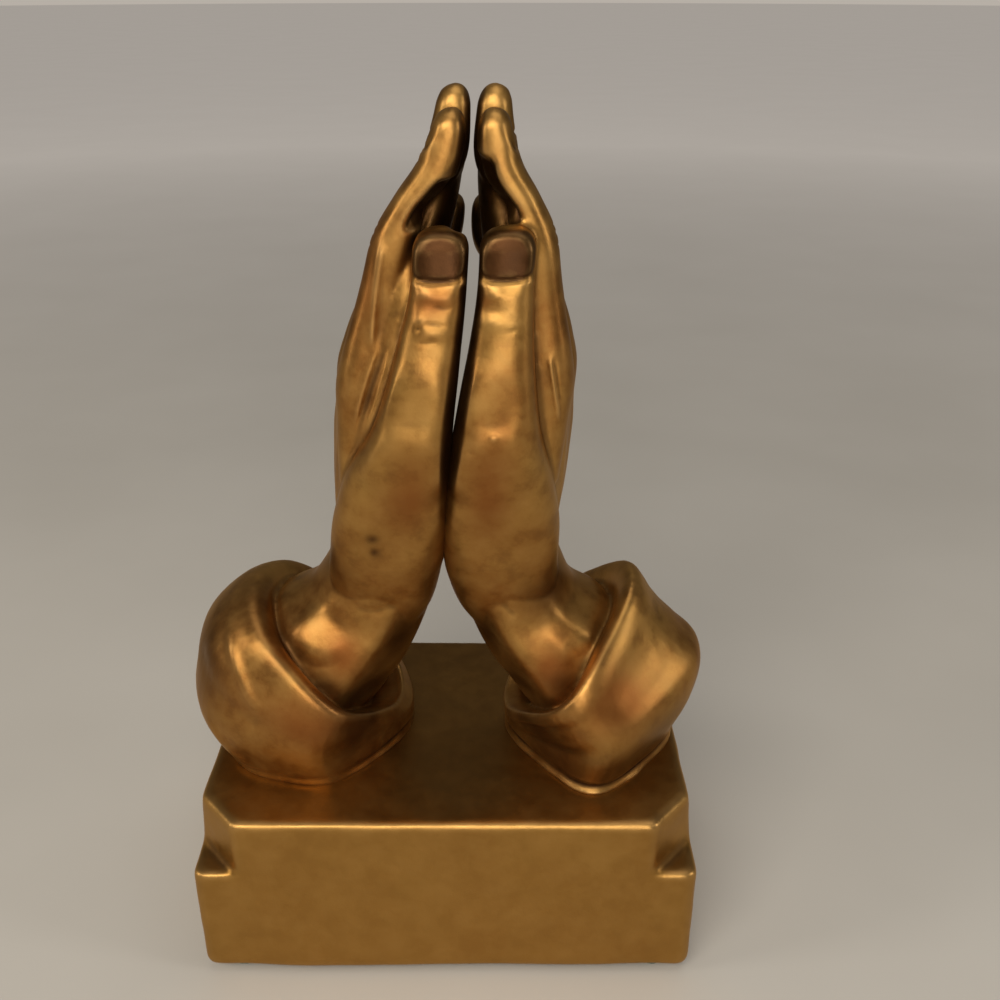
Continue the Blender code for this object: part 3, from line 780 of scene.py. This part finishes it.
def palm_shade(clay):
    """How much painted shade, with darker paint, each point gets on the inner faces of the hands and in the
    gap between them, where the hands shade each other, from 0 to 1.
    """
    out, back, up = clay.points.T
    facing_in, facing_front = -clay.normals[:, 0], -clay.normals[:, 1]
    high = ramp(up, 60.0, 90.0)
    edge = 0.12 + 0.40 * np.maximum(ramp(up, 151.0, 156.0), ramp(-back, 18.5, 20.5))
    inner = ramp(facing_in, edge, edge + 0.24) * ramp(-out, -16.0, -10.0) * high
    behind = ramp(facing_front, -0.4, 0.1) * ramp(-out, -13.0, -10.5) * ramp(back, -11.0, -8.5)
    return np.maximum(inner, behind * high * ramp(-up, -160.0, -152.0))


def arm(side):
    """A hand, its forearm and its sleeve in one skin."""
    shape = bmesh.new()
    for measures in FINGERS.values():
        loft(shape, finger(measures))
    loft(shape, thumb(side))
    loft(shape, table_rings(WEB))
    loft(shape, table_rings(PADS))
    loft(shape, forearm_rings(side))
    loft(shape, table_rings(SLEEVES[side], FLATS[side]))
    bmesh.ops.recalc_face_normals(shape, faces=shape.faces)
    clay = Clay(one_skin(mesh_of(shape, "rough"), VOXEL, soften=10))
    for _ in range(3):
        groove = np.maximum(0.0, cavity(clay.mesh, rounds=8) - 0.05)
        clay.push(np.arange(len(clay.points)), 0.9 * groove)
        clay.settle()
    sleeve_details(clay, side)
    clay.settle()
    front_details(clay, side)
    clay.settle()
    hand_details(clay, side)
    clay.settle()
    clay.roughen(scale=9.0, height=0.16, seed=3.0)
    clay.roughen(scale=3.6, height=0.05, seed=5.0, stretch=(1, 1, 2.5))
    clay.settle()
    points = clay.points
    # Painted shade between the hands, partly darker paint there, together with the nails' own darker tone
    remember(clay.mesh, "inner", np.maximum(0.88 * palm_shade(clay), clay.tint))
    remember(clay.mesh, "warm", patches(points, WARM[side], seed=11.0))
    # Patches of darker paint and of painted shade
    remember(clay.mesh, "dark_paint_and_shade", patches(points, DARK_PAINT_AND_SHADE[side], seed=13.0))
    shift = LEAN * np.maximum(0.0, points[:, 2] - LEAN_START)
    points *= SETTLE
    points[:, 0] = SIDES[side] * points[:, 0] + shift
    points[:, 2] += PLINTH_TOP
    mesh = clay.mesh
    mesh.vertices.foreach_set("co", points.ravel())
    if SIDES[side] < 0:
        mesh.flip_normals()
    mesh.update()
    return thinned(mesh)


def thinned(mesh):
    """A mesh with no more triangles than a piece may have."""
    faces = sum(len(p.vertices) - 2 for p in mesh.polygons)
    return evaluated(mesh, ("DECIMATE", dict(ratio=min(1.0, PIECE_TRIANGLES / faces))))


def plinth():
    """The block, with its upright corners cut away from the ledge up."""
    shape = bmesh.new()
    bmesh.ops.create_cube(shape, size=1.0)
    everything = shape.verts[:] + shape.edges[:] + shape.faces[:]
    middle = (0, 0, TAPER_START / HEIGHT - 0.5)
    bmesh.ops.bisect_plane(shape, geom=everything, plane_co=middle, plane_no=(0, 0, 1))
    for vert in shape.verts:
        x, y, z = vert.co
        taper = TAPER if z > 0.49 else 0.0
        vert.co = ((WIDTH - 2 * taper) * x, DEPTH * y, UNDERSIDE + (z + 0.5) * HEIGHT)
    upright = [e for e in shape.edges if abs(e.verts[0].co.z - e.verts[1].co.z) > 1.0]
    bmesh.ops.bevel(shape, geom=upright, offset=EDGE_ROUND, segments=6, profile=0.5, affect="EDGES")
    foot = [e for e in shape.edges if all(v.co.z < UNDERSIDE + 0.1 for v in e.verts)]
    bmesh.ops.bevel(shape, geom=foot, offset=FOOT_ROUND, segments=4, profile=0.5, affect="EDGES")
    slope = math.atan2(CUT_WIDTH, CUT_DEPTH)
    size = 2.0 * (CUT_WIDTH + CUT_DEPTH)
    cutters = []
    for x_side in (-1, 1):
        for y_side in (-1, 1):
            box = bmesh.new()
            bmesh.ops.create_cube(box, size=size)
            cutter = placed("cutter", mesh_of(box, "cutter"))
            facing = Vector((x_side * math.cos(slope), y_side * math.sin(slope), 0.0))
            x, y = x_side * (WIDTH - CUT_WIDTH) / 2, y_side * (DEPTH - CUT_DEPTH) / 2
            cutter.location = Vector((x, y, UNDERSIDE + LEDGE + size / 2)) + facing * size / 2
            cutter.rotation_euler = (0, 0, math.atan2(facing.y, facing.x))
            cutters.append(cutter)
    block = evaluated(
        mesh_of(shape, "block"),
        *[("BOOLEAN", dict(operation="DIFFERENCE", solver="EXACT", object=cutter)) for cutter in cutters],
        ("BEVEL", dict(width=EDGE_ROUND, segments=6, limit_method="ANGLE", angle_limit=math.radians(40))),
    )
    for cutter in cutters:
        bpy.data.objects.remove(cutter)
    clay = Clay(one_skin(block, voxel=0.6, soften=22))
    clay.roughen(scale=22.0, height=0.38, seed=2.0)
    clay.roughen(scale=7.0, height=0.14, seed=4.0)
    clay.settle()
    clay.roughen(scale=2.4, height=0.025, seed=6.0)
    clay.settle()
    # Painted shade: the plinth's faces that point up are painted darker
    remember(clay.mesh, "dark_paint_and_shade", 0.62 * ramp(clay.normals[:, 2], 0.75, 0.97))
    remember(clay.mesh, "plain", np.ones(len(clay.points)))
    return thinned(clay.mesh)


def felt_pad(x, y):
    """A round pad under one corner."""
    shape = bmesh.new()
    size = dict(radius1=PAD_RADIUS, radius2=PAD_RADIUS, depth=PAD_TOP - 0.1)
    bmesh.ops.create_cone(shape, cap_ends=True, segments=64, **size)
    clay = Clay(one_skin(mesh_of(shape, "pad"), voxel=0.2, soften=2))
    clay.roughen(scale=0.8, height=0.05, seed=1.0 + x)
    clay.points += (x, y, PAD_TOP / 2)
    clay.settle()
    return clay.mesh


def cavity(mesh, rounds=14):
    """How hollow (above 0) or proud (below 0) the surface is at each point, in millimetres."""
    count = len(mesh.vertices)
    edges = np.empty(len(mesh.edges) * 2, np.int64)
    mesh.edges.foreach_get("vertices", edges)
    a, b = edges.reshape(-1, 2).T
    points = np.empty(count * 3)
    mesh.vertices.foreach_get("co", points)
    points = points.reshape(-1, 3)
    normals = np.empty(count * 3)
    mesh.vertex_normals.foreach_get("vector", normals)
    degree = np.maximum(np.bincount(a, minlength=count) + np.bincount(b, minlength=count), 1)
    soft = points.copy()
    for _ in range(rounds):
        total = np.empty_like(soft)
        for k in range(3):
            total[:, k] = np.bincount(a, soft[b, k], count) + np.bincount(b, soft[a, k], count)
        soft = 0.5 * soft + 0.5 * total / degree[:, None]
    return ((soft - points) * normals.reshape(-1, 3)).sum(1)


def piece(name, mesh, node, material):
    """A finished piece in metres."""
    remember(mesh, "hollow", cavity(mesh))
    points = np.empty(len(mesh.vertices) * 3)
    mesh.vertices.foreach_get("co", points)
    mesh.vertices.foreach_set("co", points * MM)
    mesh.shade_smooth()
    mesh.update()
    mesh.materials.clear()
    mesh.materials.append(material)
    mesh.name = name
    made = placed(name, mesh)
    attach(made, "root")
    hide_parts(node)


class Nodes:
    """A short way to wire a material."""

    def __init__(self, name):
        self.material = bpy.data.materials.new(name)
        self.material.use_nodes = True
        self.tree = self.material.node_tree
        self.shader = self.tree.nodes["Principled BSDF"]

    def add(self, kind, inputs=None, **settings):
        node = self.tree.nodes.new(kind)
        for key, value in settings.items():
            setattr(node, key, value)
        for key, value in (inputs or {}).items():
            self.feed(node.inputs[key], value)
        return node

    def feed(self, socket, value):
        if isinstance(value, bpy.types.NodeSocket):
            self.tree.links.new(value, socket)
        else:
            socket.default_value = value

    def shade(self, **values):
        """Sets or wires the shader's own sockets: a name's underscores stand for spaces."""
        for name, value in values.items():
            self.feed(self.shader.inputs[name.replace("_", " ")], value)

    def place(self):
        return self.add("ShaderNodeTexCoord").outputs["Object"]

    def stored(self, name):
        """A value that the mesh carries at each point."""
        return self.add("ShaderNodeAttribute", attribute_name=name).outputs["Fac"]

    def noise(self, vector, scale, detail, rough, distortion=0.0):
        inputs = {"Vector": vector, "Scale": scale, "Detail": detail}
        inputs |= {"Roughness": rough, "Distortion": distortion}
        return self.add("ShaderNodeTexNoise", inputs).outputs["Fac"]

    def spread(self, value, low, high, to_low=0.0, to_high=1.0):
        inputs = {"Value": value, "From Min": low, "From Max": high, "To Min": to_low, "To Max": to_high}
        return self.add("ShaderNodeMapRange", inputs).outputs["Result"]

    def mix(self, factor, a, b):
        inputs = {"Factor": factor, 6: a, 7: b}
        return self.add("ShaderNodeMix", inputs, data_type="RGBA").outputs[2]

    def times(self, a, b):
        return self.add("ShaderNodeMath", {0: a, 1: b}, operation="MULTIPLY").outputs[0]

    def plus(self, a, b):
        return self.add("ShaderNodeMath", {0: a, 1: b}, operation="ADD").outputs[0]

    def relief(self, height, strength, distance):
        inputs = {"Height": height, "Strength": strength, "Distance": distance}
        self.shade(Normal=self.add("ShaderNodeBump", inputs).outputs["Normal"])


def bronze():
    """Mottled bronze paint, with painted shade in the hollows and between the hands, and painted highlights
    where the surface stands proud.
    """
    n = Nodes("bronze_paint")
    place = n.place()
    hollow, inner, warm, dark_paint_and_shade, plain = map(n.stored, ("hollow", "inner", "warm", "dark_paint_and_shade", "plain"))
    broad = n.noise(place, 34.0, 5.0, 0.6)
    mottle = n.noise(place, 160.0, 6.0, 0.62)
    grain = n.noise(place, 1400.0, 3.0, 0.6)
    drift = n.times(n.spread(broad, 0.38, 0.64), n.spread(plain, 0.0, 1.0, 1.0, 0.25))
    stains = n.times(n.spread(mottle, 0.46, 0.30, 0.0, 0.45), n.spread(plain, 0.0, 1.0, 1.0, 0.2))
    # Painted shade: the colour darkens in the hollows and creases of the surface
    dark = n.spread(n.plus(hollow, n.spread(mottle, 0.0, 1.0, -0.03, 0.03)), 0.02, 0.26)
    layers = (
        (drift, BROWN),
        (n.spread(mottle, 0.42, 0.72, 0.0, 0.5), PALE),
        (stains, STAIN),
        (n.times(plain, 0.35), OLIVE),
        (n.times(warm, 0.75), RED),
        # darker paint and painted shade, in patches and on the plinth's top
        (n.times(dark_paint_and_shade, 0.86), DARK_PAINT_AND_SHADE_TONE),
        (dark, HOLLOW_SHADE),
        # painted shade between the hands, partly darker paint, and the nails' darker tone
        (inner, INNER_SHADE_AND_DARK_PAINT),
        # painted highlight where the surface stands proud, on edges and rims
        (n.times(n.spread(hollow, -0.06, -0.34), 0.40), PROUD_EDGE_HIGHLIGHT),
    )
    base = GOLD
    for share, colour in layers:
        base = n.mix(share, base, colour)
    rough = n.plus(n.spread(mottle, 0.3, 0.7, 0.34, 0.47), n.times(dark, 0.18))
    n.shade(Base_Color=base, Metallic=n.spread(dark, 0.0, 1.0, 0.93, 0.88), Roughness=rough)
    n.shade(Coat_Weight=0.05, Coat_Roughness=0.30, Specular_Tint=(1.0, 0.84, 0.66, 1))
    n.relief(n.plus(mottle, n.times(grain, 0.12)), strength=0.35, distance=0.0003)
    return n.material


def felt():
    """Dark green felt with short fibres."""
    n = Nodes("green_felt")
    fibre = n.noise(n.place(), 2600.0, 4.0, 0.7, distortion=1.5)
    base = n.mix(n.spread(fibre, 0.3, 0.7), (0.006, 0.050, 0.028, 1), (0.022, 0.13, 0.08, 1))
    n.shade(Base_Color=base, Roughness=0.95, Sheen_Weight=0.3)
    n.relief(fibre, strength=0.8, distance=0.0004)
    return n.material


def studio_floor():
    """A pale floor that glows softly far from the statue, for the camera only."""
    shape = bmesh.new()
    bmesh.ops.create_circle(shape, cap_ends=True, segments=96, radius=FLOOR_RADIUS)
    mesh = mesh_of(shape, "floor")
    n = Nodes("pale_floor")
    place = n.place()
    cloud = n.spread(n.noise(place, 9.0, 3.0, 0.5), 0.3, 0.7)
    distance = n.add("ShaderNodeVectorMath", {0: place}, operation="LENGTH").outputs["Value"]
    seen = n.add("ShaderNodeLightPath").outputs["Is Camera Ray"]
    glow = n.times(n.times(n.spread(distance, 0.35, 1.5), seen), 0.55)
    n.shade(Base_Color=n.mix(cloud, (0.460, 0.436, 0.396, 1), (0.490, 0.466, 0.426, 1)), Roughness=0.7)
    n.shade(Emission_Color=(0.56, 0.51, 0.46, 1), Emission_Strength=glow)
    mesh.materials.append(n.material)
    floor = placed("floor", mesh)


def studio_lamps():
    """Soft lamps, each turned towards its target."""
    for name, (place, target, size, power, colour) in LAMPS.items():
        light = bpy.data.lights.new(name, "AREA")
        light.shape = "RECTANGLE"
        light.size, light.size_y = size
        light.energy = power
        light.color = colour
        lamp = placed(name, light)
        lamp.location = place
        lamp.rotation_euler = (Vector(target) - Vector(place)).to_track_quat("-Z", "Y").to_euler()


def studio_room():
    """Dim light from all around, and a pale wall where the camera looks past the floor."""
    world = bpy.data.worlds.new("room")
    world.use_nodes = True
    tree = world.node_tree
    back = tree.nodes["Background"]
    back.inputs["Strength"].default_value = 0.22
    shades = tree.nodes.new("ShaderNodeMix")
    shades.data_type = "RGBA"
    shades.inputs[6].default_value = (0.52, 0.50, 0.48, 1)
    shades.inputs[7].default_value = (2.15, 1.95, 1.72, 1)
    tree.links.new(tree.nodes.new("ShaderNodeLightPath").outputs["Is Camera Ray"], shades.inputs["Factor"])
    tree.links.new(shades.outputs[2], back.inputs["Color"])
    bpy.context.scene.world = world


def studio_camera():
    """The view of the photo."""
    camera = bpy.data.cameras.new("camera")
    camera.lens = 40.0
    camera.sensor_width = 36.0
    camera.clip_start = 0.01
    view = placed("camera", camera)
    view.location = CAMERA_PLACE
    view.rotation_euler = (math.radians(CAMERA_TILT), 0, 0)
    bpy.context.scene.camera = view
    bpy.context.scene.view_settings.view_transform = "Standard"


bronze_paint = bronze()
green_felt = felt()
for side in SIDES:
    piece(f"{side}_hand_and_sleeve", arm(side), "statue", bronze_paint)
piece("block_plinth", plinth(), "statue", bronze_paint)
for y_name, y in (("front", -PAD_Y), ("back", PAD_Y)):
    for x_name, x in (("left", -PAD_X), ("right", PAD_X)):
        place = f"{y_name}_{x_name}"
        piece(f"felt_{place}", felt_pad(x, y), f"felt_pad_{place}", green_felt)
studio_floor()
studio_lamps()
studio_room()
studio_camera()
